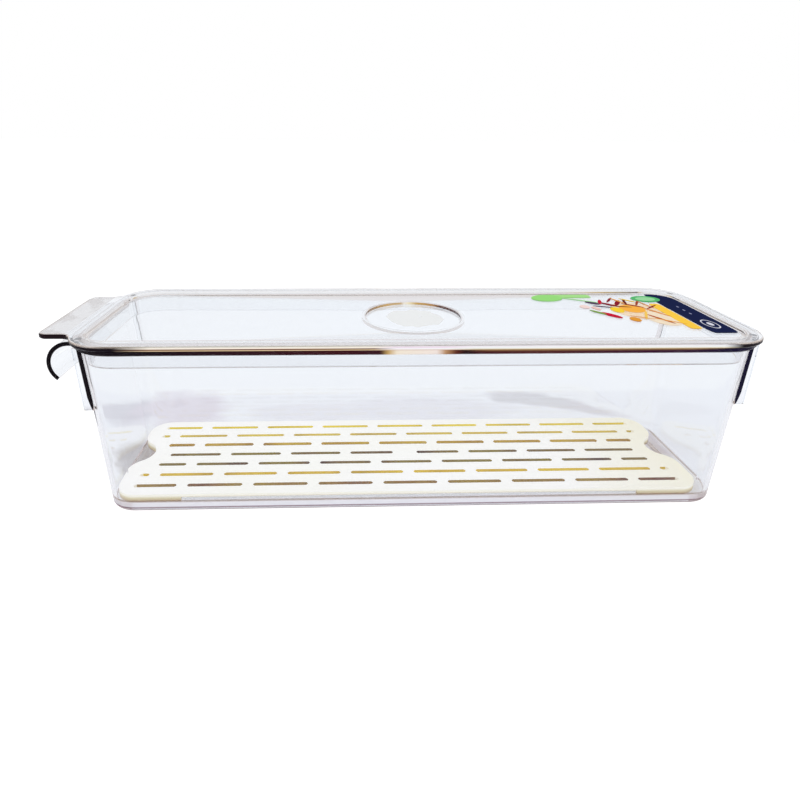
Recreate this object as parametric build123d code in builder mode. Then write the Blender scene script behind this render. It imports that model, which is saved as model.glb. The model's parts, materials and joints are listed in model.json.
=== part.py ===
"""Lidded fridge bin: a clear drafted bin with a curled finger grip, a clear lid that plugs into its
mouth, a slotted drain tray that stands on its floor, and a label on the lid.

Millimetres. X runs along the bin and Z is up. The origin is the middle of the overall length, tab
included, and of the width, in the plane the bin stands on. The grip and the lid's tab are at the -X end.
"""
import os
from math import radians, sqrt, tan

from build123d import *

# ---- overall sizes ----------------------------------------------------------------------------
lid_length = 320.0           # over the lid's rim, without the tab
lid_width = 95.5
bin_height = 86.4            # foot to the top of the bin's rim
lid_corner_radius = 20.5     # in plan
rim_corner_radius = 22.2     # of the bin's rim, in plan; the wall's corners follow it

# ---- bin --------------------------------------------------------------------------------------
wall = 1.8
draft_angle = 4.4            # lean of every wall, in degrees
rim_setback = 0.8            # the lid stands this far outside the bin's rim
rim_overhang = 2.2           # the rim stands this far outside the wall
rim_thickness = 2.4
rim_edge_chamfer = 0.8       # of the rim's lower edge
rim_top_chamfer = 0.4        # of its upper edge, under the lid
bottom_edge_radius = 3.5     # outside, along the foot
floor_edge_chamfer = 0.5     # inside, along the floor
floor_thickness = 2.2
foot_height = 3.0            # the floor's underside is raised this far inside the foot
foot_width = 4.0             # flat of the foot, all round
foot_inner_radius = 7.0      # of the recess inside the foot, in plan

# ---- curled grip on the bin's end -------------------------------------------------------------
grip_width = 58.0
grip_thickness = 2.0
grip_drop = 2.0              # top of the grip below the top of the rim
grip_reach = 3.0             # straight run out from the rim's edge before the curl
grip_curl_radius = 9.8       # to the middle of the wall
grip_curl_angle = 140.0      # how far the curl turns back under itself
grip_edge_chamfer = 0.5

# ---- stacking ribs under the rim, two at each end ---------------------------------------------
rib_thickness = 2.0
rib_drop = 30.3              # below the rim
rib_side_setback = 11.45     # middle of a rib behind the rim's side
rib_setback_top = 2.2        # rib's outer edge behind the rim's edge, at the rim
rib_setback_bottom = 4.4     # and at its lower end

# ---- lid --------------------------------------------------------------------------------------
lid_rim_thickness = 2.6
lid_edge_radius = 0.9        # of the lid's upper edge
lid_under_chamfer = 0.6      # of its lower edge
border_width = 7.6           # raised border round the sunk panel
panel_drop = 1.6             # panel below the border: the foot of the next bin stands in it
panel_thickness = 2.0
panel_corner_radius = 12.0
plug_depth = 9.6             # skirt below the lid's rim, inside the bin's mouth
plug_thickness = 1.8
plug_clearance = 0.4         # between the skirt and the bin's wall, all the way down
dish_diameter = 52.0         # finger dish in the middle of the panel
dish_depth = 3.0
dish_edge_chamfer = 0.7
dish_wall = 2.0              # plastic round and under the dish

tab_side_setback = 16.75     # the tab's side behind the lid's side
tab_reach = 15.0
tab_corner_radius = 4.5
tab_root_radius = 6.0

# ---- drain tray -------------------------------------------------------------------------------
tray_end_gap = 3.8           # between the floor's end and the tray's, when the tray is centred
tray_side_gap = 1.1          # and between their sides
tray_shift = -2.4            # the loose tray lies this far off the middle, towards the grip
tray_height = 3.8            # from the bin's floor to the top of the tray
tray_corner_ease = 1.0       # the tray's corners are this much tighter than the floor's
tray_sheet = 1.6
skirt_thickness = 1.4        # low wall under the tray's two ends, which it stands on
skirt_reach = 33.0           # how far that wall runs in from each end
notch_depth = 9.2            # finger notch in each end
notch_radius = 10.0
notch_lip_radius = 11.0
notch_offset = 3.0           # the notches lie this far behind the tray's middle line
slot_rows = 7
slot_row_pitch = 9.4
slot_pitch = 32.4
slot_width = 2.4
slot_bridge = 5.4            # plastic left between two slots of a row
slot_margin = 8.3            # plastic left between the slots and the tray's ends
sprue_bridge = 13.0          # plastic left in the middle of the middle row
shortest_slot = 4.5
slot_corner_chamfer = 0.8
fold_rise = 0.6              # the back strip of the sheet stands this much above the rest
fold_foot = 7.4              # where the rise begins, from the tray's middle line towards +Y
fold_run = 4.0

# ---- label ------------------------------------------------------------------------------------
label_length = 82.0
label_thickness = 0.2
label_end_gap = 0.7          # between the label and the panel's end
label_side_gap = 3.0         # and between their sides

# ---- places worked out from the sizes ---------------------------------------------------------
middle = tab_reach / 2       # the bin's own middle, along X
rim_length = lid_length - 2 * rim_setback
rim_width = lid_width - 2 * rim_setback
rim_underside = bin_height - rim_thickness
rib_spread = rim_width - 2 * rib_side_setback
floor_top = foot_height + floor_thickness
lid_top = bin_height + lid_rim_thickness
panel_top = lid_top - panel_drop
panel_underside = panel_top - panel_thickness
panel_length = lid_length - 2 * border_width
panel_width = lid_width - 2 * border_width
tab_width = lid_width - 2 * tab_side_setback
skirt_foot = bin_height - plug_depth
plug_inset = wall + plug_clearance
tray_top = floor_top + tray_height
tray_underside = tray_top - tray_sheet
dish_floor = panel_top - dish_depth


def level(height):
    """The horizontal plane at a height, centred on the bin."""
    return Plane((middle, 0, height))


def upright(y):
    """The upright plane that runs along the bin at a distance from its middle line."""
    return Plane((middle, y, 0), x_dir=(1, 0, 0), z_dir=(0, -1, 0))


def drafted(inset, height):
    """Length, width and corner radius of the bin's outline at a height, drawn in by an inset."""
    step = rim_overhang + inset + (bin_height - height) * tan(radians(draft_angle))
    return rim_length - 2 * step, rim_width - 2 * step, rim_corner_radius - step


# ---- the hollow of the bin --------------------------------------------------------------------
with BuildPart() as bin_hollow:
    with BuildSketch(level(floor_top)):
        RectangleRounded(*drafted(wall + floor_edge_chamfer, floor_top))
    with BuildSketch(level(floor_top + floor_edge_chamfer)):
        RectangleRounded(*drafted(wall, floor_top + floor_edge_chamfer))
    with BuildSketch(level(bin_height)):
        RectangleRounded(*drafted(wall, bin_height))
    loft(ruled=True)

# ---- the bin's rim ----------------------------------------------------------------------------
with BuildPart() as bin_rim:
    with BuildSketch(level(rim_underside)):
        RectangleRounded(rim_length, rim_width, rim_corner_radius)
    extrude(amount=rim_thickness)
    chamfer(bin_rim.edges().group_by(Axis.Z)[0], length=rim_edge_chamfer)
    chamfer(bin_rim.edges().group_by(Axis.Z)[-1], length=rim_top_chamfer)

# ---- the curled grip: a lip that runs out from the rim, turns down and curls back under -------
grip_line = bin_height - grip_drop - grip_thickness / 2
curl_centre = (-(rim_length / 2 + grip_reach), grip_line - grip_curl_radius)

with BuildPart() as bin_grip:
    with BuildSketch(upright(0)):
        with BuildLine():
            lip = Line(
                (-rim_length / 2 + rim_overhang, grip_line),
                (curl_centre[0], grip_line),
            )
            CenterArc(curl_centre, grip_curl_radius, 90, grip_curl_angle)
        trace(line_width=grip_thickness)
    extrude(amount=grip_width / 2, both=True)
    chamfer(bin_grip.faces().filter_by(Axis.Y).edges(), length=grip_edge_chamfer)

# ---- the bin: one moulding with its foot, rim, ribs and grip ----------------------------------
with BuildPart() as bin_body:
    with BuildSketch(level(0)):
        RectangleRounded(*drafted(0, 0))
    with BuildSketch(level(bin_height)):
        RectangleRounded(*drafted(0, bin_height))
    loft(ruled=True)
    fillet(bin_body.edges().group_by(Axis.Z)[0], radius=bottom_edge_radius)
    add(bin_rim.part)
    add(bin_grip.part)

    # stacking ribs: upright plates across the four corners, from the rim down
    for end in (-1, 1):
        for side in (-1, 1):
            with BuildSketch(upright(side * rib_spread / 2)):
                with BuildLine():
                    Polyline(
                        (end * (rim_length / 2 - rim_corner_radius), rim_underside),
                        (end * (rim_length / 2 - rib_setback_top), rim_underside),
                        (end * (rim_length / 2 - rib_setback_bottom), rim_underside - rib_drop),
                        (end * (rim_length / 2 - rim_corner_radius), rim_underside - rib_drop),
                        close=True,
                    )
                make_face()
            extrude(amount=rib_thickness / 2, both=True)

    add(bin_hollow.part, mode=Mode.SUBTRACT)

    # the recess under the floor leaves a flat foot all round
    with BuildSketch(level(0)):
        RectangleRounded(*drafted(bottom_edge_radius + foot_width, 0)[:2], foot_inner_radius)
    extrude(amount=foot_height, mode=Mode.SUBTRACT)

# ---- the lid: border, sunk panel, plug skirt, finger dish and tab -----------------------------
with BuildPart() as lid:
    with BuildSketch(level(bin_height)) as lid_outline:
        RectangleRounded(lid_length, lid_width, lid_corner_radius)
        with Locations(((lid_corner_radius - tab_reach - lid_length) / 2, 0)):
            Rectangle(tab_reach + lid_corner_radius, tab_width)
        corners = lid_outline.vertices()
        fillet(corners.group_by(Axis.X)[0], radius=tab_corner_radius)
        roots = lid_outline.vertices().filter_by(lambda v: abs(abs(v.Y) - tab_width / 2) < 0.01)
        fillet(roots.sort_by(Axis.X)[-2:], radius=tab_root_radius)
    extrude(amount=lid_rim_thickness)
    fillet(lid.edges().group_by(Axis.Z)[-1], radius=lid_edge_radius)
    chamfer(lid.edges().group_by(Axis.Z)[0], length=lid_under_chamfer)

    # plug skirt, following the lean of the bin's wall
    with BuildSketch(level(skirt_foot)):
        RectangleRounded(*drafted(plug_inset, skirt_foot))
    with BuildSketch(level(bin_height)):
        RectangleRounded(*drafted(plug_inset, bin_height))
    loft(ruled=True)
    with BuildSketch(level(skirt_foot)):
        RectangleRounded(*drafted(plug_inset + plug_thickness, skirt_foot))
    with BuildSketch(level(panel_underside)):
        RectangleRounded(*drafted(plug_inset + plug_thickness, panel_underside))
    loft(ruled=True, mode=Mode.SUBTRACT)

    # the panel is sunk inside the border
    with BuildSketch(level(panel_top)) as panel_outline:
        RectangleRounded(panel_length, panel_width, panel_corner_radius)
    extrude(amount=panel_drop, mode=Mode.SUBTRACT)

    # finger dish, with its own boss below the panel
    with BuildSketch(level(dish_floor - dish_wall)):
        Circle(dish_diameter / 2 + dish_wall)
    extrude(amount=dish_depth)
    with BuildSketch(level(dish_floor)):
        Circle(dish_diameter / 2)
    extrude(amount=dish_depth, mode=Mode.SUBTRACT)
    dish_rims = lid.edges().filter_by(GeomType.CIRCLE).filter_by(
        lambda e: abs(e.radius - dish_diameter / 2) < 0.01
    )
    chamfer(dish_rims.sort_by(Axis.Z)[-1], length=dish_edge_chamfer)

# ---- the drain tray: a slotted sheet on a low skirt -------------------------------------------
floor_length, floor_width, floor_radius = drafted(wall, floor_top)
tray_length = floor_length - 2 * tray_end_gap
tray_width = floor_width - 2 * tray_side_gap
tray_corner_radius = floor_radius - tray_corner_ease
notch_outset = notch_radius - notch_depth        # middle of the notch's arc outside the tray's end
notch_centre = tray_length / 2 + notch_outset

# the lip's arc stops short of the tray's corner
notch_room = tray_width / 2 - tray_corner_radius - notch_offset
widest_lip = (notch_room**2 - notch_radius**2 + notch_outset**2) / (2 * notch_depth)
lip_radius = min(notch_lip_radius, 0.95 * widest_lip)


def row_reach(y):
    """How far out along X a row of slots may run, clear of the tray's end and its finger notch."""
    reach = tray_length / 2 - slot_margin
    guard = notch_radius + slot_margin
    if abs(y) < guard:
        reach = min(reach, notch_centre - sqrt(guard**2 - y**2))
    return reach


def row_slots(row):
    """Middle and length of every slot in a row; the rows are staggered by half a pitch."""
    reach = row_reach((row - (slot_rows - 1) / 2) * slot_row_pitch)
    half_slot = (slot_pitch - slot_bridge) / 2
    count = int(reach / slot_pitch) + 1
    slots = []
    for step in range(-count, count + 1):
        centre = (step + row % 2 / 2) * slot_pitch
        left = max(centre - half_slot, -reach)
        right = min(centre + half_slot, reach)
        if row == slot_rows // 2 and centre > 0:
            left = max(left, sprue_bridge / 2)
        if row == slot_rows // 2 and centre < 0:
            right = min(right, -sprue_bridge / 2)
        if right - left >= shortest_slot:
            slots.append(((left + right) / 2, right - left))
    return slots


def tray_level(height):
    """The horizontal plane at a height, centred on the tray."""
    return Plane((middle + tray_shift, 0, height))


with BuildSketch() as tray_outline:
    RectangleRounded(tray_length, tray_width, tray_corner_radius)
    with Locations((-notch_centre, notch_offset), (notch_centre, notch_offset)):
        Circle(notch_radius, mode=Mode.SUBTRACT)
    lips = tray_outline.vertices().filter_by(lambda v: abs(v.Y - notch_offset) < notch_radius)
    fillet(lips, radius=lip_radius)


def over_the_fold(drop):
    """Corners of the section, in Y and Z, of all that lies above the folded sheet's top, less a drop."""
    side = tray_width
    low = tray_top - drop
    high = low + fold_rise
    return [
        (-side, low),
        (fold_foot, low),
        (fold_foot + fold_run, high),
        (side, high),
        (side, high + tray_height),
        (-side, high + tray_height),
    ]


# the space under the sheet: open along the middle, inside a low wall at both ends
with BuildPart() as tray_under:
    with BuildSketch(tray_level(floor_top)):
        add(tray_outline.sketch)
        offset(amount=-skirt_thickness, mode=Mode.REPLACE)
        Rectangle(tray_length - 2 * skirt_reach, tray_width)
    extrude(amount=tray_height)
    with BuildSketch(Plane.YZ):
        with BuildLine():
            Polyline(*over_the_fold(tray_sheet), close=True)
        make_face()
    extrude(amount=tray_length, both=True, mode=Mode.SUBTRACT)

with BuildPart() as drain_tray:
    with BuildSketch(tray_level(floor_top)):
        add(tray_outline.sketch)
    extrude(amount=tray_height + fold_rise)
    with BuildSketch(Plane.YZ):
        with BuildLine():
            Polyline(*over_the_fold(0), close=True)
        make_face()
    extrude(amount=tray_length, both=True, mode=Mode.SUBTRACT)
    add(tray_under.part, mode=Mode.SUBTRACT)

    # rows of drain slots
    with BuildSketch(tray_level(floor_top)) as slots:
        for row in range(slot_rows):
            y = (row - (slot_rows - 1) / 2) * slot_row_pitch
            for centre, length in row_slots(row):
                with Locations((centre, y)):
                    Rectangle(length, slot_width)
        chamfer(slots.vertices(), length=slot_corner_chamfer)
    extrude(amount=tray_height + fold_rise, mode=Mode.SUBTRACT)

# ---- the label, stuck on the panel at the end away from the tab -------------------------------
with BuildPart() as lid_label:
    with BuildSketch(level(panel_top)):
        with Locations((panel_length / 2 - label_end_gap - label_length / 2, 0)):
            RectangleRounded(
                label_length, panel_width - 2 * label_side_gap, panel_corner_radius - label_end_gap
            )
    extrude(amount=label_thickness)

# ---- one file for each piece ------------------------------------------------------------------
bin_body.part.label = "bin"
lid.part.label = "lid"
drain_tray.part.label = "drain_tray"
lid_label.part.label = "lid_label"

os.makedirs("parts", exist_ok=True)
export_step(bin_body.part, "parts/bin.step")
export_step(lid.part, "parts/lid.step")
export_step(drain_tray.part, "parts/drain_tray.step")
export_step(lid_label.part, "parts/lid_label.step")
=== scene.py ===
"""Looks of a lidded fridge bin: clear bin, clear lid, milky drain tray and a printed film on the lid."""
import json
from math import cos, radians, sin

import bpy
from mathutils import Matrix, Vector

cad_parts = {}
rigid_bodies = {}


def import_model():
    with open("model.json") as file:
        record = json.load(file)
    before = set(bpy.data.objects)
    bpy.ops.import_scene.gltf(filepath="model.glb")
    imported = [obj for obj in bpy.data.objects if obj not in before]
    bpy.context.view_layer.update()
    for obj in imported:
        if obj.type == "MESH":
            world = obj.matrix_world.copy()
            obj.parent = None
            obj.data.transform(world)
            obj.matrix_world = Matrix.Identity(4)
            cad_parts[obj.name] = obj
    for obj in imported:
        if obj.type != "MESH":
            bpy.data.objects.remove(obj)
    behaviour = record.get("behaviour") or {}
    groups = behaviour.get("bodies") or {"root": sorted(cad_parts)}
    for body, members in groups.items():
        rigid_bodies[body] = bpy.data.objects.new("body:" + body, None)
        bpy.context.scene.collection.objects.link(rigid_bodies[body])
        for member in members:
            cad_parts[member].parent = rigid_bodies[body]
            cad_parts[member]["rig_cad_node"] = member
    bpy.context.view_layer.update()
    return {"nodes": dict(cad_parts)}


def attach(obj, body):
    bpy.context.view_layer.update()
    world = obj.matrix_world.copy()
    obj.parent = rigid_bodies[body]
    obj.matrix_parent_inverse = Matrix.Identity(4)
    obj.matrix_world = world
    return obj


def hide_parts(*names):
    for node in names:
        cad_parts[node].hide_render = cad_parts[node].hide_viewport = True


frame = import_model()


# ---- clear bin --------------------------------------------------------------------------------
# One injection moulding in clear PET: drafted walls, rim, curled grip, stacking ribs and foot. Its
# walls nearly vanish; its cut edges, the ribs' roots and its foot carry painted shade and painted
# reflections for the light caught inside it.
def colour(code):
    """An sRGB hex code such as F5F5EE as a linear colour."""
    values = [int(code[i:i + 2], 16) / 255 for i in (0, 2, 4)]
    return [v / 12.92 if v <= 0.04045 else ((v + 0.055) / 1.055) ** 2.4 for v in values] + [1.0]


def node(tree, kind, inputs=(), stops=(), **settings):
    """Adds a node with its own settings. An input is a socket and a value, a hex code or another
    node's output; the stops of a ramp are places and hex codes."""
    made = tree.nodes.new(kind)
    for name, value in settings.items():
        setattr(made, name, value)
    for socket, value in inputs:
        if isinstance(value, bpy.types.NodeSocket):
            tree.links.new(value, made.inputs[socket])
        else:
            made.inputs[socket].default_value = colour(value) if isinstance(value, str) else value
    for place, code in stops[1:-1]:
        made.color_ramp.elements.new(place)
    for place, code in stops:
        element = made.color_ramp.elements[stops.index((place, code))]
        element.position, element.color = place, colour(code)
    return made


def new_material(name):
    """An empty node material and its tree."""
    made = bpy.data.materials.new(name)
    made.use_nodes = True
    made.node_tree.nodes.clear()
    return made, made.node_tree


def dress(piece, material):
    """Gives a piece one material."""
    piece.data.materials.clear()
    piece.data.materials.append(material)


bin_middle = 7.5          # millimetres past the origin along X
wave_width, wave_height = 0.025, 0.00003
clear_PET_ior = 1.57
most_turns = 3.5          # light that turns back inside more often than this ends in a painted glow of the set tone


def clear_plastic(name, low, high):
    """Clear PET, moulded in a polished mould: it bends light, and its surface swells by 0.03 mm over a
    wave of 25 mm, which stirs what shows through it. Light that has turned back inside it four times
    ends in a painted glow, in a tone from low at the foot to high at the rim. Returns the material, its
    tree, the place in millimetres from the bin's middle, the same in plan, the facing, whether it is
    upright, how far it points outward, the ray's kind and the shader that the painted edges are laid over."""
    made, tree = new_material(name)
    place = node(tree, "ShaderNodeTexCoord")
    wave = node(tree, "ShaderNodeTexNoise", [
        ("Vector", place.outputs["Object"]), ("Scale", 1 / wave_width), ("Detail", 1.0)])
    bump = node(tree, "ShaderNodeBump", [("Height", wave.outputs[0]), ("Strength", 1.0), ("Distance", wave_height)])
    body = node(tree, "ShaderNodeBsdfPrincipled", [
        ("Normal", bump.outputs[0]), ("Base Color", "FAFCFE"), ("IOR", clear_PET_ior), ("Roughness", 0.0),
        ("Transmission Weight", 1.0)])
    spot = node(tree, "ShaderNodeVectorMath", [
        (0, place.outputs["Object"]), (1, (1000, 1000, 1000)), (2, (-bin_middle, 0, 0))], operation="MULTIPLY_ADD")
    plan = node(tree, "ShaderNodeVectorMath", [(0, spot.outputs[0]), (1, (1, 1, 0))], operation="MULTIPLY")
    outward = node(tree, "ShaderNodeVectorMath", [(0, plan.outputs[0]), (1, place.outputs["Normal"])],
                   operation="DOT_PRODUCT")
    spot = node(tree, "ShaderNodeSeparateXYZ", [(0, spot.outputs[0])])
    facing = node(tree, "ShaderNodeSeparateXYZ", [(0, place.outputs["Normal"])])
    upright = node(tree, "ShaderNodeMath", [(0, facing.outputs["Z"])], operation="ABSOLUTE")
    upright = node(tree, "ShaderNodeMath", [(0, upright.outputs[0]), (1, 0.75)], operation="LESS_THAN")
    path = node(tree, "ShaderNodeLightPath")
    rise = node(tree, "ShaderNodeMapRange", [("Value", spot.outputs["Z"]), ("From Min", 4.0), ("From Max", 84.0)])
    deep = node(tree, "ShaderNodeValToRGB", [(0, rise.outputs[0])], ((0.0, low), (1.0, high)))
    painted_glow = node(tree, "ShaderNodeEmission", [("Color", deep.outputs[0]), ("Strength", 1.0)])
    turns = node(tree, "ShaderNodeMath", [(0, path.outputs["Glossy Depth"]), (1, most_turns)],
                 operation="GREATER_THAN")
    inner = node(tree, "ShaderNodeMixShader", [(0, turns.outputs[0]), (1, body.outputs[0]), (2, painted_glow.outputs[0])])
    return made, tree, spot, plan, facing, upright, outward, path, inner


def lay_painted_edges(tree, path, inner, cover, shade):
    """Lays the painted edge tones, painted shade and painted reflections, over clear plastic, seen from
    outside only, and ends its tree. Lamp light passes straight through, and the plastic soaks up a little of all
    light along its way."""
    side = node(tree, "ShaderNodeNewGeometry")
    outside = node(tree, "ShaderNodeMath", [(0, 1.0), (1, side.outputs["Backfacing"])], operation="SUBTRACT")
    cover = node(tree, "ShaderNodeMath", [(0, cover), (1, outside.outputs[0])], operation="MULTIPLY")
    # a dull shader in the painted tone of the edges: painted shade and painted reflections
    painted_edge_shader = node(tree, "ShaderNodeBsdfPrincipled", [
        ("Base Color", shade), ("IOR", clear_PET_ior), ("Roughness", 0.2), ("Specular IOR Level", 0.03)])
    edged = node(tree, "ShaderNodeMixShader", [(0, cover.outputs[0]), (1, inner.outputs[0]), (2, painted_edge_shader.outputs[0])])
    soft = node(tree, "ShaderNodeMath", [(0, path.outputs["Is Shadow Ray"]), (1, path.outputs["Is Diffuse Ray"])],
                operation="MAXIMUM")
    through = node(tree, "ShaderNodeBsdfTransparent", [("Color", "FDFDFE")])
    mix = node(tree, "ShaderNodeMixShader", [(0, soft.outputs[0]), (1, edged.outputs[0]), (2, through.outputs[0])])
    soak = node(tree, "ShaderNodeVolumeAbsorption", [("Density", 26.0), ("Color", "C9B8A6")])
    node(tree, "ShaderNodeOutputMaterial", [("Surface", mix.outputs[0]), ("Volume", soak.outputs[0])])


rim_underside, rim_top = 84.0, 86.4
half_length = 160.0       # of the lid
grip_root = -158.9        # the grip starts here
rib_lean, rib_start, rib_side = 0.093, 145.79, 35.5   # a rib's root: X = lean * Z + start, at Y = side
made = clear_plastic("clear_PET_bin", "E2D8E0", "ECEAF0")
bin_plastic, tree, spot, _, facing, upright, outward, path, inner = made
run = node(tree, "ShaderNodeMapRange", [
    ("Value", spot.outputs["X"]), ("From Min", -half_length), ("From Max", half_length)])

# painted shade on the rim's own edge, and on all of the rim round the corners
rise = node(tree, "ShaderNodeMapRange", [
    ("Value", spot.outputs["Z"]), ("From Min", rim_underside), ("From Max", rim_top)])
rim = node(tree, "ShaderNodeValToRGB", [(0, rise.outputs[0])], (
    (0.0, "000000"), (0.02, "606060"), (0.11, "FFFFFF"), (1.0, "FFFFFF")))
corners = node(tree, "ShaderNodeValToRGB", [(0, run.outputs[0])], (
    (0.0, "FFFFFF"), (0.09, "FFFFFF"), (0.13, "000000"), (0.93, "000000"), (0.96, "FFFFFF")))
high = node(tree, "ShaderNodeMath", [(0, spot.outputs["Z"]), (1, rim_underside)], operation="GREATER_THAN")
corners = node(tree, "ShaderNodeMath", [(0, corners.outputs[0]), (1, high.outputs[0])], operation="MULTIPLY")
rim = node(tree, "ShaderNodeMath", [(0, rim.outputs[0]), (1, corners.outputs[0])], operation="MAXIMUM")
flat = node(tree, "ShaderNodeMath", [(0, facing.outputs["Z"])], operation="ABSOLUTE")
flat = node(tree, "ShaderNodeMath", [(0, flat.outputs[0]), (1, 0.97)], operation="LESS_THAN")
outside = node(tree, "ShaderNodeMath", [(0, outward.outputs["Value"]), (1, 0.0)], operation="GREATER_THAN")
rim = node(tree, "ShaderNodeMath", [(0, rim.outputs[0]), (1, flat.outputs[0])], operation="MULTIPLY")
rim = node(tree, "ShaderNodeMath", [(0, rim.outputs[0]), (1, outside.outputs[0])], operation="MULTIPLY")
outside = node(tree, "ShaderNodeMath", [(0, outside.outputs[0]), (1, upright.outputs[0])], operation="MULTIPLY")

# painted shade on the curled grip's two cut sides
beyond = node(tree, "ShaderNodeMath", [(0, spot.outputs["X"]), (1, grip_root)], operation="LESS_THAN")
sideways = node(tree, "ShaderNodeMath", [(0, facing.outputs["Y"])], operation="ABSOLUTE")
sideways = node(tree, "ShaderNodeMath", [(0, sideways.outputs[0]), (1, 0.5)], operation="GREATER_THAN")
curl = node(tree, "ShaderNodeMath", [(0, beyond.outputs[0]), (1, sideways.outputs[0])], operation="MULTIPLY")

# the roots of the four stacking ribs, as painted shade: a dark wedge down the bin's corner, 3 mm
# wide, that thins from 60 mm above the floor down to nothing 10 mm below the rib's foot
along = node(tree, "ShaderNodeMath", [(0, spot.outputs["X"])], operation="ABSOLUTE")
across = node(tree, "ShaderNodeMath", [(0, spot.outputs["Y"])], operation="ABSOLUTE")
lean = node(tree, "ShaderNodeMath", [(0, spot.outputs["Z"]), (1, rib_lean), (2, rib_start)],
            operation="MULTIPLY_ADD")
off_x = node(tree, "ShaderNodeMath", [(0, along.outputs[0]), (1, lean.outputs[0])], operation="SUBTRACT")
off_y = node(tree, "ShaderNodeMath", [(0, across.outputs[0]), (1, rib_side)], operation="SUBTRACT")
off = node(tree, "ShaderNodeCombineXYZ", [(0, off_x.outputs[0]), (1, off_y.outputs[0])])
off = node(tree, "ShaderNodeVectorMath", [(0, off.outputs[0])], operation="LENGTH")
girth = node(tree, "ShaderNodeMapRange", [("Value", spot.outputs["Z"]), ("From Min", 43.0), ("From Max", 60.0),
                                          ("To Min", -0.1), ("To Max", 1.6)])
root = node(tree, "ShaderNodeMath", [(0, off.outputs["Value"]), (1, girth.outputs[0])], operation="LESS_THAN")

# the foot: painted reflections, two thin purple lines and a pale band where light from the floor
# leaves it, and a brown line of painted shadow from the tray, all fainter past the corner away from the grip
lines = node(tree, "ShaderNodeMapRange", [("Value", spot.outputs["Z"]), ("From Min", 0.0), ("From Max", 8.0)])
foot = node(tree, "ShaderNodeValToRGB", [(0, lines.outputs[0])], (
    (0.0, "A0A0A0"), (0.07, "F4F4F4"), (0.19, "F0F0F0"), (0.24, "606060"), (0.29, "606060"), (0.33, "E0E0E0"),
    (0.40, "D8D8D8"), (0.46, "B8B8B8"), (0.75, "B0B0B0"), (0.79, "C8C8C8"), (0.87, "C8C8C8"), (0.93, "000000")))
foot = node(tree, "ShaderNodeMath", [(0, foot.outputs[0]), (1, outside.outputs[0])], operation="MULTIPLY")
faint = node(tree, "ShaderNodeMapRange", [("Value", spot.outputs["X"]), ("From Min", 134.0), ("From Max", 147.0),
                                          ("To Min", 1.0), ("To Max", 0.35)])
foot = node(tree, "ShaderNodeMath", [(0, foot.outputs[0]), (1, faint.outputs[0])], operation="MULTIPLY")
foot_tone = node(tree, "ShaderNodeValToRGB", [(0, lines.outputs[0])], (
    (0.0, "745868"), (0.40, "806474"), (0.46, "F2F2FC"), (0.74, "F6F6FE"), (0.79, "86644A"), (0.93, "8A6A50")))

# all the painted edges and their tones: painted shade in brown, with a painted glint in the middle of
# the rim and a painted tan reflection on its top
edges = node(tree, "ShaderNodeMath", [(0, rim.outputs[0]), (1, curl.outputs[0])], operation="MAXIMUM")
edges = node(tree, "ShaderNodeMath", [(0, edges.outputs[0]), (1, root.outputs[0])], operation="MAXIMUM")
edges = node(tree, "ShaderNodeMath", [(0, edges.outputs[0]), (1, 0.995)], operation="MULTIPLY")
edges = node(tree, "ShaderNodeMath", [(0, edges.outputs[0]), (1, foot.outputs[0])], operation="MAXIMUM")
brown = node(tree, "ShaderNodeValToRGB", [(0, run.outputs[0])], (
    (0.0, "0E080E"), (0.12, "140A12"), (0.25, "2C1018"), (0.38, "3A0E16"), (0.440, "34101A"), (0.450, "C9A464"),
    (0.462, "F4E8D4"), (0.516, "F4E6DC"), (0.528, "B88A60"), (0.542, "5A2416"), (0.556, "18060E"), (0.575, "42161A"),
    (0.66, "4E2222"), (0.80, "38102A"), (0.92, "180E30"), (1.0, "0A0824")))
tan = node(tree, "ShaderNodeMapRange", [("Value", spot.outputs["Z"]), ("From Min", 85.5), ("From Max", 86.2)])
warm = node(tree, "ShaderNodeValToRGB", [(0, run.outputs[0])], (
    (0.55, "000000"), (0.59, "E8E8E8"), (0.87, "E8E8E8"), (0.92, "000000")))
tan = node(tree, "ShaderNodeMath", [(0, tan.outputs[0]), (1, warm.outputs[0])], operation="MULTIPLY")
brown = node(tree, "ShaderNodeMix", [("Factor", tan.outputs[0]), (6, brown.outputs[0]), (7, "A07A50")],
             data_type="RGBA")
upper = node(tree, "ShaderNodeMapRange", [("Value", spot.outputs["Z"]), ("From Min", 20.0), ("From Max", 40.0)])
brown = node(tree, "ShaderNodeMix", [("Factor", upper.outputs[0]), (6, foot_tone.outputs[0]), (7, brown.outputs[2])],
             data_type="RGBA")
lay_painted_edges(tree, path, inner, edges.outputs[0], brown.outputs[2])
dress(frame["nodes"]["bin"], bin_plastic)

# ---- clear lid --------------------------------------------------------------------------------
# The same clear PET, moulded apart from the bin. It only rests on the bin's rim, so a hair of air
# stays between the two: the lid shown is lifted by that much, and light passes the joint as it does
# in the real one. Its finger dish is drawn in and made shallower, to the size of its moulded ring.
air = 0.00005
panel_top = 0.0874
dish = Vector((0.0075, 0, panel_top))
dish_reach = 0.029
below_panel = 0.0872
dish_draw, dish_rise = 0.94, 0.55
same_point = 1e-7         # points nearer than this are merged, and hard edges stay hard
bpy.ops.object.select_all(action="DESELECT")
frame["nodes"]["lid"].select_set(True)
bpy.context.view_layer.objects.active = frame["nodes"]["lid"]
bpy.ops.object.duplicate()
lid = bpy.context.object
lid.name = "clear_lid"
del lid["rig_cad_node"]
bpy.ops.object.mode_set(mode="EDIT")
bpy.ops.mesh.select_mode(type="VERT")
bpy.ops.mesh.select_all(action="SELECT")
bpy.ops.mesh.remove_doubles(threshold=same_point, use_sharp_edge_from_normals=True)
bpy.ops.mesh.select_all(action="DESELECT")
bpy.ops.object.mode_set(mode="OBJECT")
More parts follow.
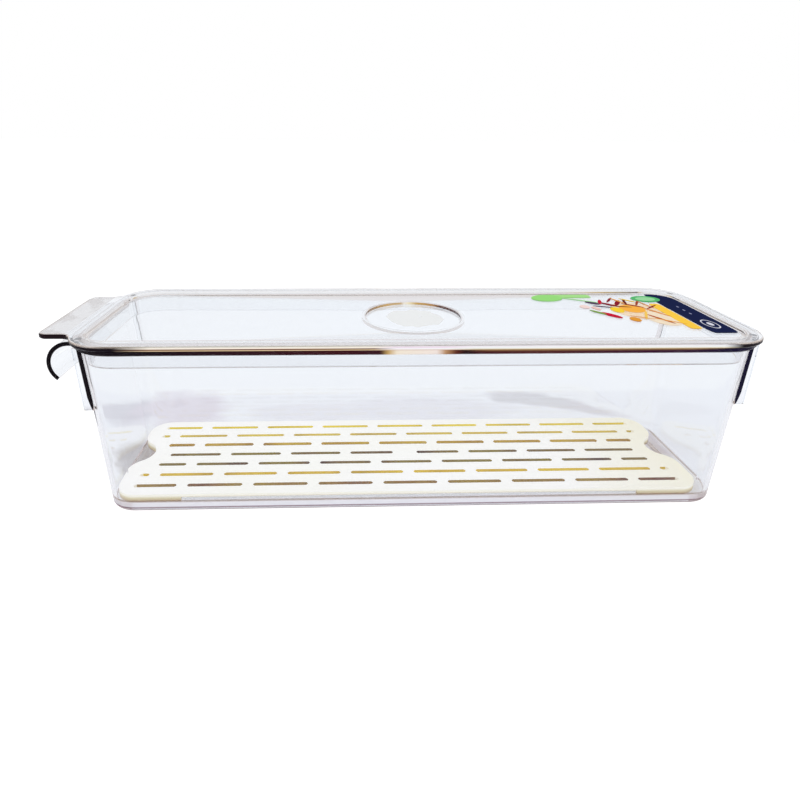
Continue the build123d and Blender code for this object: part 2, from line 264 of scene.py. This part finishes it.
for point in lid.data.vertices:
    point.select = (point.co - dish).xy.length < dish_reach
bpy.ops.object.mode_set(mode="EDIT")
bpy.ops.transform.resize(value=(dish_draw, dish_draw, 1), center_override=dish)
bpy.ops.object.mode_set(mode="OBJECT")
# the edge of the panel's underside rises with the dish, so the panel thins from 2 mm to 1.1 mm round it
for point in lid.data.vertices:
    point.select = (point.co - dish).xy.length < dish_reach and point.co.z < below_panel
bpy.ops.object.mode_set(mode="EDIT")
bpy.ops.transform.resize(value=(1, 1, dish_rise), center_override=dish)
bpy.ops.object.mode_set(mode="OBJECT")
bpy.ops.transform.translate(value=(0, 0, air))
bpy.ops.object.transform_apply(location=True, rotation=False, scale=False)

border_top = 88.9
below_skirt, skirt_top = 76.0, 84.0
tab_root = -160.4
made = clear_plastic("clear_PET_lid", "E6E2E8", "EEECF0")
lid_plastic, tree, spot, plan, facing, upright, outward, path, inner = made
run = node(tree, "ShaderNodeMapRange", [
    ("Value", spot.outputs["X"]), ("From Min", -half_length), ("From Max", half_length)])
rise = node(tree, "ShaderNodeMapRange", [
    ("Value", spot.outputs["Z"]), ("From Min", rim_top), ("From Max", border_top)])

# the border's outer edge, painted: thin bands of brown, gold and cream as painted shade and
# reflections, a painted glint in the middle, and corners in painted shade
left = node(tree, "ShaderNodeValToRGB", [(0, rise.outputs[0])], (
    (0.0, "4A2C20"), (0.05, "A08062"), (0.12, "C8A87C"), (0.18, "F4E4BE"), (0.27, "EAD2A2"), (0.33, "6A3A2C"),
    (0.46, "704036"), (0.56, "F8EEDC"), (1.0, "FFFBEC")))
right = node(tree, "ShaderNodeValToRGB", [(0, rise.outputs[0])], (
    (0.0, "A88A64"), (0.08, "C0A67C"), (0.20, "D8C8A4"), (0.32, "EEEADC"), (0.46, "F4F4F2"), (1.0, "FCF6FC")))
glint = node(tree, "ShaderNodeValToRGB", [(0, rise.outputs[0])], (
    (0.0, "C0987E"), (0.14, "E8D8CC"), (0.40, "FCFCFC"), (0.60, "F0DCEC"), (1.0, "FFFCF8")))
turned = node(tree, "ShaderNodeValToRGB", [(0, rise.outputs[0])], (
    (0.0, "0C0A14"), (0.72, "1C1218"), (0.84, "5A4030"), (0.94, "B8A488"), (1.0, "E4DCD0")))
to_right = node(tree, "ShaderNodeValToRGB", [(0, run.outputs[0])], ((0.47, "000000"), (0.55, "FFFFFF")))
to_glint = node(tree, "ShaderNodeValToRGB", [(0, run.outputs[0])], (
    (0.43, "000000"), (0.46, "FFFFFF"), (0.53, "FFFFFF"), (0.57, "000000")))
to_corner = node(tree, "ShaderNodeValToRGB", [(0, run.outputs[0])], (
    (0.08, "FFFFFF"), (0.13, "000000"), (0.915, "000000"), (0.94, "FFFFFF")))
tone = node(tree, "ShaderNodeMix", [("Factor", to_right.outputs[0]), (6, left.outputs[0]), (7, right.outputs[0])],
            data_type="RGBA")
tone = node(tree, "ShaderNodeMix", [("Factor", to_glint.outputs[0]), (6, tone.outputs[2]), (7, glint.outputs[0])],
            data_type="RGBA")
tone = node(tree, "ShaderNodeMix", [("Factor", to_corner.outputs[0]), (6, tone.outputs[2]), (7, turned.outputs[0])],
            data_type="RGBA")
edge = node(tree, "ShaderNodeValToRGB", [(0, rise.outputs[0])], (
    (0.0, "000000"), (0.01, "FFFFFF"), (0.66, "FFFFFF"), (0.80, "D8D8D8"), (1.0, "909090")))
outside = node(tree, "ShaderNodeMath", [(0, outward.outputs["Value"]), (1, 0.0)], operation="GREATER_THAN")
outside = node(tree, "ShaderNodeMath", [(0, outside.outputs[0]), (1, upright.outputs[0])], operation="MULTIPLY")
edge = node(tree, "ShaderNodeMath", [(0, edge.outputs[0]), (1, outside.outputs[0])], operation="MULTIPLY")

# the plug skirt below the border: a faint grey painted shade, with a brown line of painted shade along its foot
low = node(tree, "ShaderNodeMapRange", [
    ("Value", spot.outputs["Z"]), ("From Min", below_skirt), ("From Max", skirt_top)])
skirt = node(tree, "ShaderNodeValToRGB", [(0, low.outputs[0])], (
    (0.0, "B8B8B8"), (0.17, "B8B8B8"), (0.20, "585858"), (0.94, "585858"), (0.97, "000000")))
skirt_tone = node(tree, "ShaderNodeValToRGB", [(0, low.outputs[0])], (
    (0.0, "A09088"), (0.17, "A09088"), (0.20, "DCDCDE"), (1.0, "DCDCDE")))
below = node(tree, "ShaderNodeMath", [(0, spot.outputs["Z"]), (1, 85.0)], operation="LESS_THAN")
skirt = node(tree, "ShaderNodeMath", [(0, skirt.outputs[0]), (1, outside.outputs[0])], operation="MULTIPLY")
tone = node(tree, "ShaderNodeMix", [("Factor", below.outputs[0]), (6, tone.outputs[2]), (7, skirt_tone.outputs[0])],
            data_type="RGBA")
edge = node(tree, "ShaderNodeMath", [(0, edge.outputs[0]), (1, skirt.outputs[0])], operation="MAXIMUM")

# the tab's edge is painted dark all through, as painted shade
tab = node(tree, "ShaderNodeMath", [(0, spot.outputs["X"]), (1, tab_root)], operation="LESS_THAN")
tone = node(tree, "ShaderNodeMix", [("Factor", tab.outputs[0]), (6, tone.outputs[2]), (7, "1E1216")],
            data_type="RGBA")
tab = node(tree, "ShaderNodeMath", [(0, tab.outputs[0]), (1, outside.outputs[0])], operation="MULTIPLY")
edge = node(tree, "ShaderNodeMath", [(0, edge.outputs[0]), (1, tab.outputs[0])], operation="MAXIMUM")

# the dish's wall, as painted reflections: gold behind, brown to the right
radius = node(tree, "ShaderNodeVectorMath", [(0, plan.outputs[0])], operation="LENGTH")
near = node(tree, "ShaderNodeMath", [(0, radius.outputs["Value"]), (1, 27.0)], operation="LESS_THAN")
inward = node(tree, "ShaderNodeMath", [(0, outward.outputs["Value"]), (1, 0.0)], operation="LESS_THAN")
wall = node(tree, "ShaderNodeMath", [(0, near.outputs[0]), (1, inward.outputs[0])], operation="MULTIPLY")
wall = node(tree, "ShaderNodeMath", [(0, wall.outputs[0]), (1, upright.outputs[0])], operation="MULTIPLY")
wall = node(tree, "ShaderNodeMath", [(0, wall.outputs[0]), (1, 0.9)], operation="MULTIPLY")
spread = node(tree, "ShaderNodeMapRange", [("Value", spot.outputs["X"]), ("From Min", -25.0), ("From Max", 25.0)])
gold = node(tree, "ShaderNodeValToRGB", [(0, spread.outputs[0])], (
    (0.0, "8A7C78"), (0.08, "9A7A58"), (0.25, "C9A058"), (0.42, "CDAE78"), (0.46, "F8F0E0"), (0.52, "F4E4B4"),
    (0.60, "C89C40"), (0.76, "B07C2C"), (0.84, "5A2810"), (0.92, "4A2018"), (1.0, "6A6468")))
tone = node(tree, "ShaderNodeMix", [("Factor", near.outputs[0]), (6, tone.outputs[2]), (7, gold.outputs[0])],
            data_type="RGBA")
edge = node(tree, "ShaderNodeMath", [(0, edge.outputs[0]), (1, wall.outputs[0])], operation="MAXIMUM")

# seen from above: a frosted patch in the dish, and grey streaks on the tab, both with ragged edges
# 9 mm long and 16 mm across
cloud = node(tree, "ShaderNodeMapping", [("Vector", plan.outputs[0]), ("Scale", (1 / 9, 1 / 16, 1))])
cloud = node(tree, "ShaderNodeTexNoise", [("Vector", cloud.outputs[0]), ("Scale", 1.0), ("Detail", 2.0)])
frost = node(tree, "ShaderNodeMapRange", [("Value", radius.outputs["Value"]), ("From Min", 20.0), ("From Max", 12.0),
                                          ("To Min", -0.40), ("To Max", 0.30)])
frost = node(tree, "ShaderNodeMath", [(0, frost.outputs[0]), (1, cloud.outputs[0])], operation="ADD")
frost = node(tree, "ShaderNodeMapRange", [("Value", frost.outputs[0]), ("From Min", 0.62), ("From Max", 0.68),
                                          ("To Max", 0.55)])
streak = node(tree, "ShaderNodeMapRange", [("Value", cloud.outputs[0]), ("From Min", 0.50), ("From Max", 0.62),
                                           ("To Min", 0.30), ("To Max", 0.52)])
beyond = node(tree, "ShaderNodeMath", [(0, spot.outputs["X"]), (1, -161.5)], operation="LESS_THAN")
streak = node(tree, "ShaderNodeMath", [(0, streak.outputs[0]), (1, beyond.outputs[0])], operation="MULTIPLY")
mark = node(tree, "ShaderNodeMath", [(0, frost.outputs[0]), (1, streak.outputs[0])], operation="MAXIMUM")
above = node(tree, "ShaderNodeMath", [(0, facing.outputs["Z"]), (1, 0.97)], operation="GREATER_THAN")
mark = node(tree, "ShaderNodeMath", [(0, mark.outputs[0]), (1, above.outputs[0])], operation="MULTIPLY")
mark_tone = node(tree, "ShaderNodeMix", [("Factor", beyond.outputs[0]), (6, "E6E6E2"), (7, "B4ACAA")],
                 data_type="RGBA")
tone = node(tree, "ShaderNodeMix", [("Factor", above.outputs[0]), (6, tone.outputs[2]), (7, mark_tone.outputs[2])],
            data_type="RGBA")
edge = node(tree, "ShaderNodeMath", [(0, edge.outputs[0]), (1, mark.outputs[0])], operation="MAXIMUM")
lay_painted_edges(tree, path, inner, edge.outputs[0], tone.outputs[2])
dress(lid, lid_plastic)
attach(lid, "lid")
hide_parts("lid")

# ---- drain tray -------------------------------------------------------------------------------
# Milky polypropylene with seven rows of slots, moulded in one and satin from the mould; it lies loose
# on the bin's floor. The walls of its slots are painted gold to brown and its outer edge straw, darker
# towards its foot, as painted light and shade for light gone through its thickness; all of it has a
# faint painted glow.
tray_middle = 5.1         # millimetres past the origin along X
rows_depth = 32.9         # half the depth of the seven rows
tray_plastic, tree = new_material("milky_PP_tray")
place = node(tree, "ShaderNodeTexCoord")
spot = node(tree, "ShaderNodeVectorMath", [
    (0, place.outputs["Object"]), (1, (1000, 1000, 1000)), (2, (-tray_middle, 0, 0))], operation="MULTIPLY_ADD")
spot = node(tree, "ShaderNodeSeparateXYZ", [(0, spot.outputs[0])])
facing = node(tree, "ShaderNodeSeparateXYZ", [(0, place.outputs["Normal"])])
upright = node(tree, "ShaderNodeMath", [(0, facing.outputs["Z"])], operation="ABSOLUTE")
upright = node(tree, "ShaderNodeMath", [(0, upright.outputs[0]), (1, 0.5)], operation="LESS_THAN")
across = node(tree, "ShaderNodeMath", [(0, spot.outputs["Y"])], operation="ABSOLUTE")
across = node(tree, "ShaderNodeMath", [(0, across.outputs[0]), (1, 32.0)], operation="LESS_THAN")
along = node(tree, "ShaderNodeMath", [(0, spot.outputs["X"])], operation="ABSOLUTE")
along = node(tree, "ShaderNodeMath", [(0, along.outputs[0]), (1, 135.8)], operation="LESS_THAN")
slotted = node(tree, "ShaderNodeMath", [(0, across.outputs[0]), (1, along.outputs[0])], operation="MULTIPLY")

# the slots' walls, as painted light and shade: a tone for each row from front to back, broken up over
# 30 mm along it
rows = node(tree, "ShaderNodeMapRange", [
    ("Value", spot.outputs["Y"]), ("From Min", -rows_depth), ("From Max", rows_depth)])
rows = node(tree, "ShaderNodeValToRGB", [(0, rows.outputs[0])], (
    (0.0, "7A4018"), (0.143, "E4C200"), (0.286, "481400"), (0.429, "481400"), (0.571, "C09600"), (0.714, "E4CC50"),
    (0.857, "F0DC10")))
rows.color_ramp.interpolation = "CONSTANT"
stretch = node(tree, "ShaderNodeMapping", [
    ("Vector", place.outputs["Object"]), ("Scale", (1 / 0.030, 1 / 0.0094, 1 / 0.050))])
patch = node(tree, "ShaderNodeTexNoise", [("Vector", stretch.outputs[0]), ("Scale", 1.0), ("Detail", 1.0)])
slot_painted_light = node(tree, "ShaderNodeValToRGB", [(0, patch.outputs[0])], (
    (0.32, "6A3C10"), (0.46, "C8A800"), (0.62, "E8D800")))
slot_painted_light = node(tree, "ShaderNodeMix", [("Factor", 0.7), (6, slot_painted_light.outputs[0]), (7, rows.outputs[0])], data_type="RGBA")
# the outer edge: straw, painted darker towards its foot as painted shade
depth = node(tree, "ShaderNodeMapRange", [("Value", spot.outputs["Z"]), ("From Min", 5.2), ("From Max", 9.0)])
edge = node(tree, "ShaderNodeValToRGB", [(0, depth.outputs[0])], ((0.0, "A89070"), (0.45, "D8CCA4"), (0.8, "FBF9EA")))
walls = node(tree, "ShaderNodeMix", [("Factor", slotted.outputs[0]), (6, edge.outputs[0]), (7, slot_painted_light.outputs[2])],
             data_type="RGBA")

# the sheet: milky clouds 60 mm wide, yellower towards the end away from the grip
cloud = node(tree, "ShaderNodeTexNoise", [("Vector", place.outputs["Object"]), ("Scale", 1 / 0.060), ("Detail", 2.0)])
sheet = node(tree, "ShaderNodeValToRGB", [(0, cloud.outputs[0])], ((0.35, "FDFDF6"), (0.65, "FFFFFD")))
yellowing = node(tree, "ShaderNodeMapRange", [("Value", spot.outputs["X"]), ("From Min", 80.0), ("From Max", 145.0),
                                              ("To Max", 0.6)])
sheet = node(tree, "ShaderNodeMix", [("Factor", yellowing.outputs[0]), (6, sheet.outputs[0]), (7, "F8F4D6")],
             data_type="RGBA")
# the sheet's own tone on flat faces, and the painted light and shade of the walls on upright faces
tone_and_painted_light = node(tree, "ShaderNodeMix", [("Factor", upright.outputs[0]), (6, sheet.outputs[2]), (7, walls.outputs[2])],
            data_type="RGBA")

# the mould's grain, 1.2 mm wide: the real one is finer, and drawn this coarse so that it shows
grain = node(tree, "ShaderNodeTexNoise", [
    ("Vector", place.outputs["Object"]), ("Scale", 1 / 0.0012), ("Detail", 2.0)])
bump = node(tree, "ShaderNodeBump", [("Height", grain.outputs[0]), ("Strength", 0.25), ("Distance", 0.00005)])
# the emission, in these tones, is a painted glow
body = node(tree, "ShaderNodeBsdfPrincipled", [
    ("Base Color", tone_and_painted_light.outputs[2]), ("Normal", bump.outputs[0]), ("IOR", 1.49), ("Roughness", 0.45),
    ("Specular IOR Level", 0.1), ("Emission Color", tone_and_painted_light.outputs[2]), ("Emission Strength", 0.10)])
node(tree, "ShaderNodeOutputMaterial", [("Surface", body.outputs[0])])
dress(frame["nodes"]["drain_tray"], tray_plastic)

# ---- label film -------------------------------------------------------------------------------
# Clear polypropylene film stuck on the lid, printed with a plain pattern: a dark band across its
# end and bright bars, discs and strokes beside it. Where there is no ink, the film is not seen.
label_middle = 0.1182
prints = (
    # x, y, half width, half depth (millimetres from the label's middle), turn in degrees, power (2 for
    # a disc, 8 and more for a bar), ink, cover
    (-22.0, 33.6, 17.0, 3.2, 0.0, 8.0, "A6E08C", 1.0),
    (-31.0, 30.0, 9.0, 6.4, 12.0, 2.0, "98DC7E", 1.0),
    (-14.0, 25.5, 0.8, 11.0, 62.0, 2.0, "A8E59A", 1.0),
    (9.0, 6.0, 12.0, 15.0, 0.0, 2.0, "FBE2BE", 0.60),
    (16.0, -8.0, 8.0, 11.0, 0.0, 2.0, "FCEBD0", 0.80),
    (24.0, -3.0, 3.0, 21.0, 0.0, 8.0, "FBCB4A", 1.0),
    (8.0, 9.0, 6.5, 7.0, 0.0, 2.0, "F7B24A", 1.0),
    (-1.0, 7.0, 3.2, 5.0, 0.0, 2.0, "F6D03A", 1.0),
    (-8.0, -2.0, 2.2, 6.0, 35.0, 2.0, "C9203A", 1.0),
    (-13.0, 3.0, 1.2, 5.0, 35.0, 2.0, "7FA348", 1.0),
    (-1.0, 17.0, 1.4, 6.0, 40.0, 2.0, "8A2430", 1.0),
    (5.0, 20.0, 1.3, 6.0, -30.0, 2.0, "8A2430", 1.0),
    (11.0, 15.0, 1.2, 6.0, 50.0, 2.0, "A04A34", 1.0),
    (-9.0, 20.0, 1.8, 4.0, 50.0, 2.0, "5A4A62", 1.0),
    (1.0, -9.0, 2.6, 3.6, 0.0, 2.0, "E39A3C", 1.0),
    (14.0, -8.0, 1.0, 9.0, 24.0, 2.0, "B8603A", 1.0),
    (18.0, 3.0, 0.9, 9.0, 24.0, 2.0, "D98A4A", 1.0),
    (-16.0, 13.0, 2.6, 3.2, 0.0, 2.0, "F3D9D4", 1.0),
    (-11.0, 10.0, 1.6, 3.4, 20.0, 2.0, "F0C9C0", 1.0),
    (-6.0, 13.0, 0.8, 5.0, 70.0, 2.0, "5A4A62", 1.0),
    (-4.0, 22.0, 1.0, 4.5, -20.0, 2.0, "C9203A", 1.0),
    (3.0, 26.0, 0.7, 5.5, -35.0, 2.0, "8A2430", 1.0),
    (7.0, 24.0, 0.8, 6.0, 20.0, 2.0, "E8A040", 1.0),
    (10.0, 22.0, 0.7, 6.5, -15.0, 2.0, "6E2A26", 1.0),
    (13.0, 25.0, 0.8, 5.0, 40.0, 2.0, "F6D03A", 1.0),
    (16.0, 20.0, 0.7, 6.0, -30.0, 2.0, "A04A34", 1.0),
    (19.0, 16.0, 0.7, 7.0, 10.0, 2.0, "D98A4A", 1.0),
    (4.0, 13.0, 0.8, 5.5, 75.0, 2.0, "6E2A26", 1.0),
    (10.0, -2.0, 0.7, 8.0, -25.0, 2.0, "F4C860", 1.0),
    (17.0, -12.0, 0.7, 8.0, 50.0, 2.0, "E39A3C", 1.0),
    (20.0, 12.0, 0.6, 6.0, -50.0, 2.0, "8A2430", 1.0),
    (6.0, -6.0, 0.6, 6.0, 60.0, 2.0, "D98A4A", 1.0),
    (34.5, 4.0, 6.6, 34.0, 0.0, 10.0, "1D2448", 1.0),
    (24.5, 27.5, 8.0, 6.0, 0.0, 2.0, "5AB872", 1.0),
    (24.5, 27.5, 5.4, 3.8, 0.0, 2.0, "9AD8A0", 1.0),
    (34.5, -17.0, 3.4, 6.6, 0.0, 2.0, "D9DAE6", 1.0),
    (34.5, -17.0, 2.9, 5.7, 0.0, 2.0, "1D2448", 1.0),
    (34.5, -17.0, 1.3, 2.6, 0.0, 2.0, "D9DAE6", 1.0),
    (34.5, 0.0, 0.5, 1.2, 0.0, 2.0, "9296B4", 1.0),
    (34.5, 6.0, 0.5, 1.2, 0.0, 2.0, "9296B4", 1.0),
    (34.5, 12.0, 0.5, 1.2, 0.0, 2.0, "9296B4", 1.0),
)
film, tree = new_material("printed_PP_film")
place = node(tree, "ShaderNodeTexCoord")
hue, cover = None, None
for x, y, wide, deep, turned, power, ink, strength in prints:
    own = node(tree, "ShaderNodeMapping", [
        ("Vector", place.outputs["Object"]), ("Location", (label_middle + x / 1000, y / 1000, 0)),
        ("Rotation", (0, 0, radians(turned))), ("Scale", (wide / 1000, deep / 1000, 1))], vector_type="TEXTURE")
    spot = node(tree, "ShaderNodeSeparateXYZ", [(0, own.outputs[0])])
    reach = []
    for side in "XY":
        size = node(tree, "ShaderNodeMath", [(0, spot.outputs[side])], operation="ABSOLUTE")
        reach.append(node(tree, "ShaderNodeMath", [(0, size.outputs[0]), (1, power)], operation="POWER").outputs[0])
    far = node(tree, "ShaderNodeMath", [(0, reach[0]), (1, reach[1])], operation="ADD")
    mask = node(tree, "ShaderNodeMath", [(0, far.outputs[0]), (1, 1.0)], operation="LESS_THAN").outputs[0]
    inked = node(tree, "ShaderNodeMath", [(0, mask), (1, strength)], operation="MULTIPLY").outputs[0]
    hue = node(tree, "ShaderNodeMix", [("Factor", mask), (6, hue or ink), (7, ink)], data_type="RGBA").outputs[2]
    cover = node(tree, "ShaderNodeMath", [(0, cover or 0.0), (1, inked)], operation="MAXIMUM").outputs[0]
body = node(tree, "ShaderNodeBsdfPrincipled", [
    ("Base Color", hue), ("Alpha", cover), ("IOR", 1.49), ("Roughness", 0.30), ("Specular IOR Level", 0.0)])
node(tree, "ShaderNodeOutputMaterial", [("Surface", body.outputs[0])])
dress(frame["nodes"]["lid_label"], film)

# ---- floor ------------------------------------------------------------------------------------
# A sheet of white paper, bright round the bin. Through the plastic it glows less and is faintly
# blue-grey up to 92 mm back, paler beyond, with painted shadows in lilac and grey close behind the bin
# and past its left end.
floor_size, floor_gap = 24.0, 0.0002
glow_through, glow_seen = 0.545, 0.72     # as seen through the plastic, and straight
bpy.ops.object.select_all(action="DESELECT")
bpy.ops.mesh.primitive_plane_add(size=floor_size, location=(0, 0, -floor_gap))
floor = bpy.context.object
floor.name = "floor"
painted_shadows = (
    # x, y, half width, half depth in metres, turn in degrees, tone
    (-0.176, 0.068, 0.030, 0.020, 0.0, "A8A4B8"),
    (-0.138, 0.074, 0.038, 0.028, 0.0, "CABED2"),
    (-0.147, 0.014, 0.020, 0.020, 0.0, "8C8690"),
    (0.115, 0.076, 0.052, 0.011, -24.0, "B8B4C4"),
    (0.100, 0.086, 0.026, 0.012, 0.0, "B8B8C4"),
    (0.030, 0.070, 0.070, 0.020, 0.0, "DCDCE9"),
    (-0.050, 0.068, 0.040, 0.016, 0.0, "DEDEEA"),
    (0.150, 0.018, 0.014, 0.018, 0.0, "C0B8CC"),
)
paper, tree = new_material("white_paper")
place = node(tree, "ShaderNodeTexCoord")
spot = node(tree, "ShaderNodeSeparateXYZ", [(0, place.outputs["Object"])])
back = node(tree, "ShaderNodeMapRange", [("Value", spot.outputs["Y"]), ("From Min", 0.092), ("From Max", 0.098)])
tone = node(tree, "ShaderNodeMix", [("Factor", back.outputs[0]), (6, "ECEFF8"), (7, "F8FBFF")],
            data_type="RGBA").outputs[2]

# the painted shadows' outlines wander by 60 mm along the bin and 22 mm across it, over waves of 50 by 20 mm
ragged = node(tree, "ShaderNodeMapping", [("Vector", place.outputs["Object"]), ("Scale", (1 / 0.050, 1 / 0.020, 1))])
ragged = node(tree, "ShaderNodeTexNoise", [("Vector", ragged.outputs[0]), ("Scale", 1.0), ("Detail", 2.0)])
ragged = node(tree, "ShaderNodeVectorMath", [
    (0, ragged.outputs["Color"]), (1, (0.060, 0.022, 0)), (2, place.outputs["Object"])], operation="MULTIPLY_ADD")
for x, y, wide, deep, turned, shade in painted_shadows:
    own = node(tree, "ShaderNodeMapping", [("Vector", ragged.outputs[0]), ("Location", (x + 0.030, y + 0.011, 0)),
                                           ("Rotation", (0, 0, radians(turned))), ("Scale", (wide, deep, 1))],
               vector_type="TEXTURE")
    far = node(tree, "ShaderNodeVectorMath", [(0, own.outputs[0])], operation="LENGTH")
    fade = node(tree, "ShaderNodeMapRange", [("Value", far.outputs["Value"]), ("From Min", 1.0), ("From Max", 0.6)])
    tone = node(tree, "ShaderNodeMix", [("Factor", fade.outputs[0]), (6, tone), (7, shade)],
                data_type="RGBA").outputs[2]
path = node(tree, "ShaderNodeLightPath")
tone = node(tree, "ShaderNodeMix", [("Factor", path.outputs["Is Camera Ray"]), (6, tone), (7, "FFFFFF")],
            data_type="RGBA").outputs[2]
lit = node(tree, "ShaderNodeBsdfDiffuse", [("Color", "BCBCBD")])
extra = node(tree, "ShaderNodeMapRange", [
    ("Value", path.outputs["Is Camera Ray"]), ("To Min", glow_through), ("To Max", glow_seen)])
glow = node(tree, "ShaderNodeEmission", [("Strength", extra.outputs[0]), ("Color", tone)])
both = node(tree, "ShaderNodeAddShader", [(0, lit.outputs[0]), (1, glow.outputs[0])])
node(tree, "ShaderNodeOutputMaterial", [("Surface", both.outputs[0])])
dress(floor, paper)

# ---- studio -----------------------------------------------------------------------------------
# A white tent that lights the floor and the tray evenly. Clear plastic sees more of the room: the
# white tent low down, its warm edge, the dark room above it, and a soft lamp overhead.
world = bpy.data.worlds.new("studio")
bpy.context.scene.world = world
world.use_nodes = True
tree = world.node_tree
tree.nodes.clear()
where = node(tree, "ShaderNodeTexCoord")
split = node(tree, "ShaderNodeSeparateXYZ", [(0, where.outputs["Generated"])])
behind = node(tree, "ShaderNodeMapRange", [("Value", split.outputs["Y"]), ("From Min", -0.15), ("From Max", 0.15)])
front = node(tree, "ShaderNodeValToRGB", [(0, split.outputs["Z"])], (
    (0.00, "F6F9FE"), (0.12, "F6F9FE"), (0.22, "D9B45A"), (0.32, "3A2418"), (0.75, "1A1420"), (0.90, "F4F2F0")))
rear = node(tree, "ShaderNodeValToRGB", [(0, split.outputs["Z"])], (
    (0.00, "F6F9FE"), (0.42, "F6F9FE"), (0.47, "D9B45A"), (0.53, "3A2418"), (0.75, "1A1420"), (0.90, "F4F2F0")))
seen = node(tree, "ShaderNodeMix", [("Factor", behind.outputs[0]), (6, front.outputs[0]), (7, rear.outputs[0])],
            data_type="RGBA")
path = node(tree, "ShaderNodeLightPath")
bent = node(tree, "ShaderNodeMath", [(0, path.outputs["Is Glossy Ray"]), (1, path.outputs["Is Transmission Ray"])],
            operation="MAXIMUM")
first = node(tree, "ShaderNodeMath", [(0, path.outputs["Diffuse Depth"]), (1, 0.5)], operation="LESS_THAN")
room = node(tree, "ShaderNodeMath", [(0, bent.outputs[0]), (1, first.outputs[0])], operation="MULTIPLY")
pick = node(tree, "ShaderNodeMix", [("Factor", room.outputs[0]), (6, "FFFFFF"), (7, seen.outputs[2])],
            data_type="RGBA")
light = node(tree, "ShaderNodeBackground", [("Color", pick.outputs[2]), ("Strength", 1.0)])
node(tree, "ShaderNodeOutputWorld", [("Surface", light.outputs[0])])

# ---- camera -----------------------------------------------------------------------------------
# A plain camera a little above the lid, turned slightly to the right.
yaw, pitch, roll = 0.03413, 0.2694, 0.006122
stand = (-0.0280, -0.2819, 0.1776)
ahead = Vector((sin(yaw) * cos(pitch), cos(yaw) * cos(pitch), -sin(pitch)))
right = ahead.cross(Vector((0, 0, 1))).normalized()
up = right.cross(ahead)
right2 = right * cos(roll) + up * sin(roll)
up2 = up * cos(roll) - right * sin(roll)
lens = bpy.data.cameras.new("camera")
camera = bpy.data.objects.new("camera", lens)
bpy.context.scene.collection.objects.link(camera)
turn = Matrix((right2, up2, -ahead)).transposed()
camera.matrix_world = Matrix.Translation(stand) @ turn.to_4x4()
lens.sensor_width = 36.0
lens.lens = 26.01
lens.shift_x = 0.0466
lens.shift_y = -0.1349
lens.clip_start = 0.01
lens.clip_end = 60.0
bpy.context.scene.camera = camera
bpy.context.scene.view_settings.view_transform = "Standard"
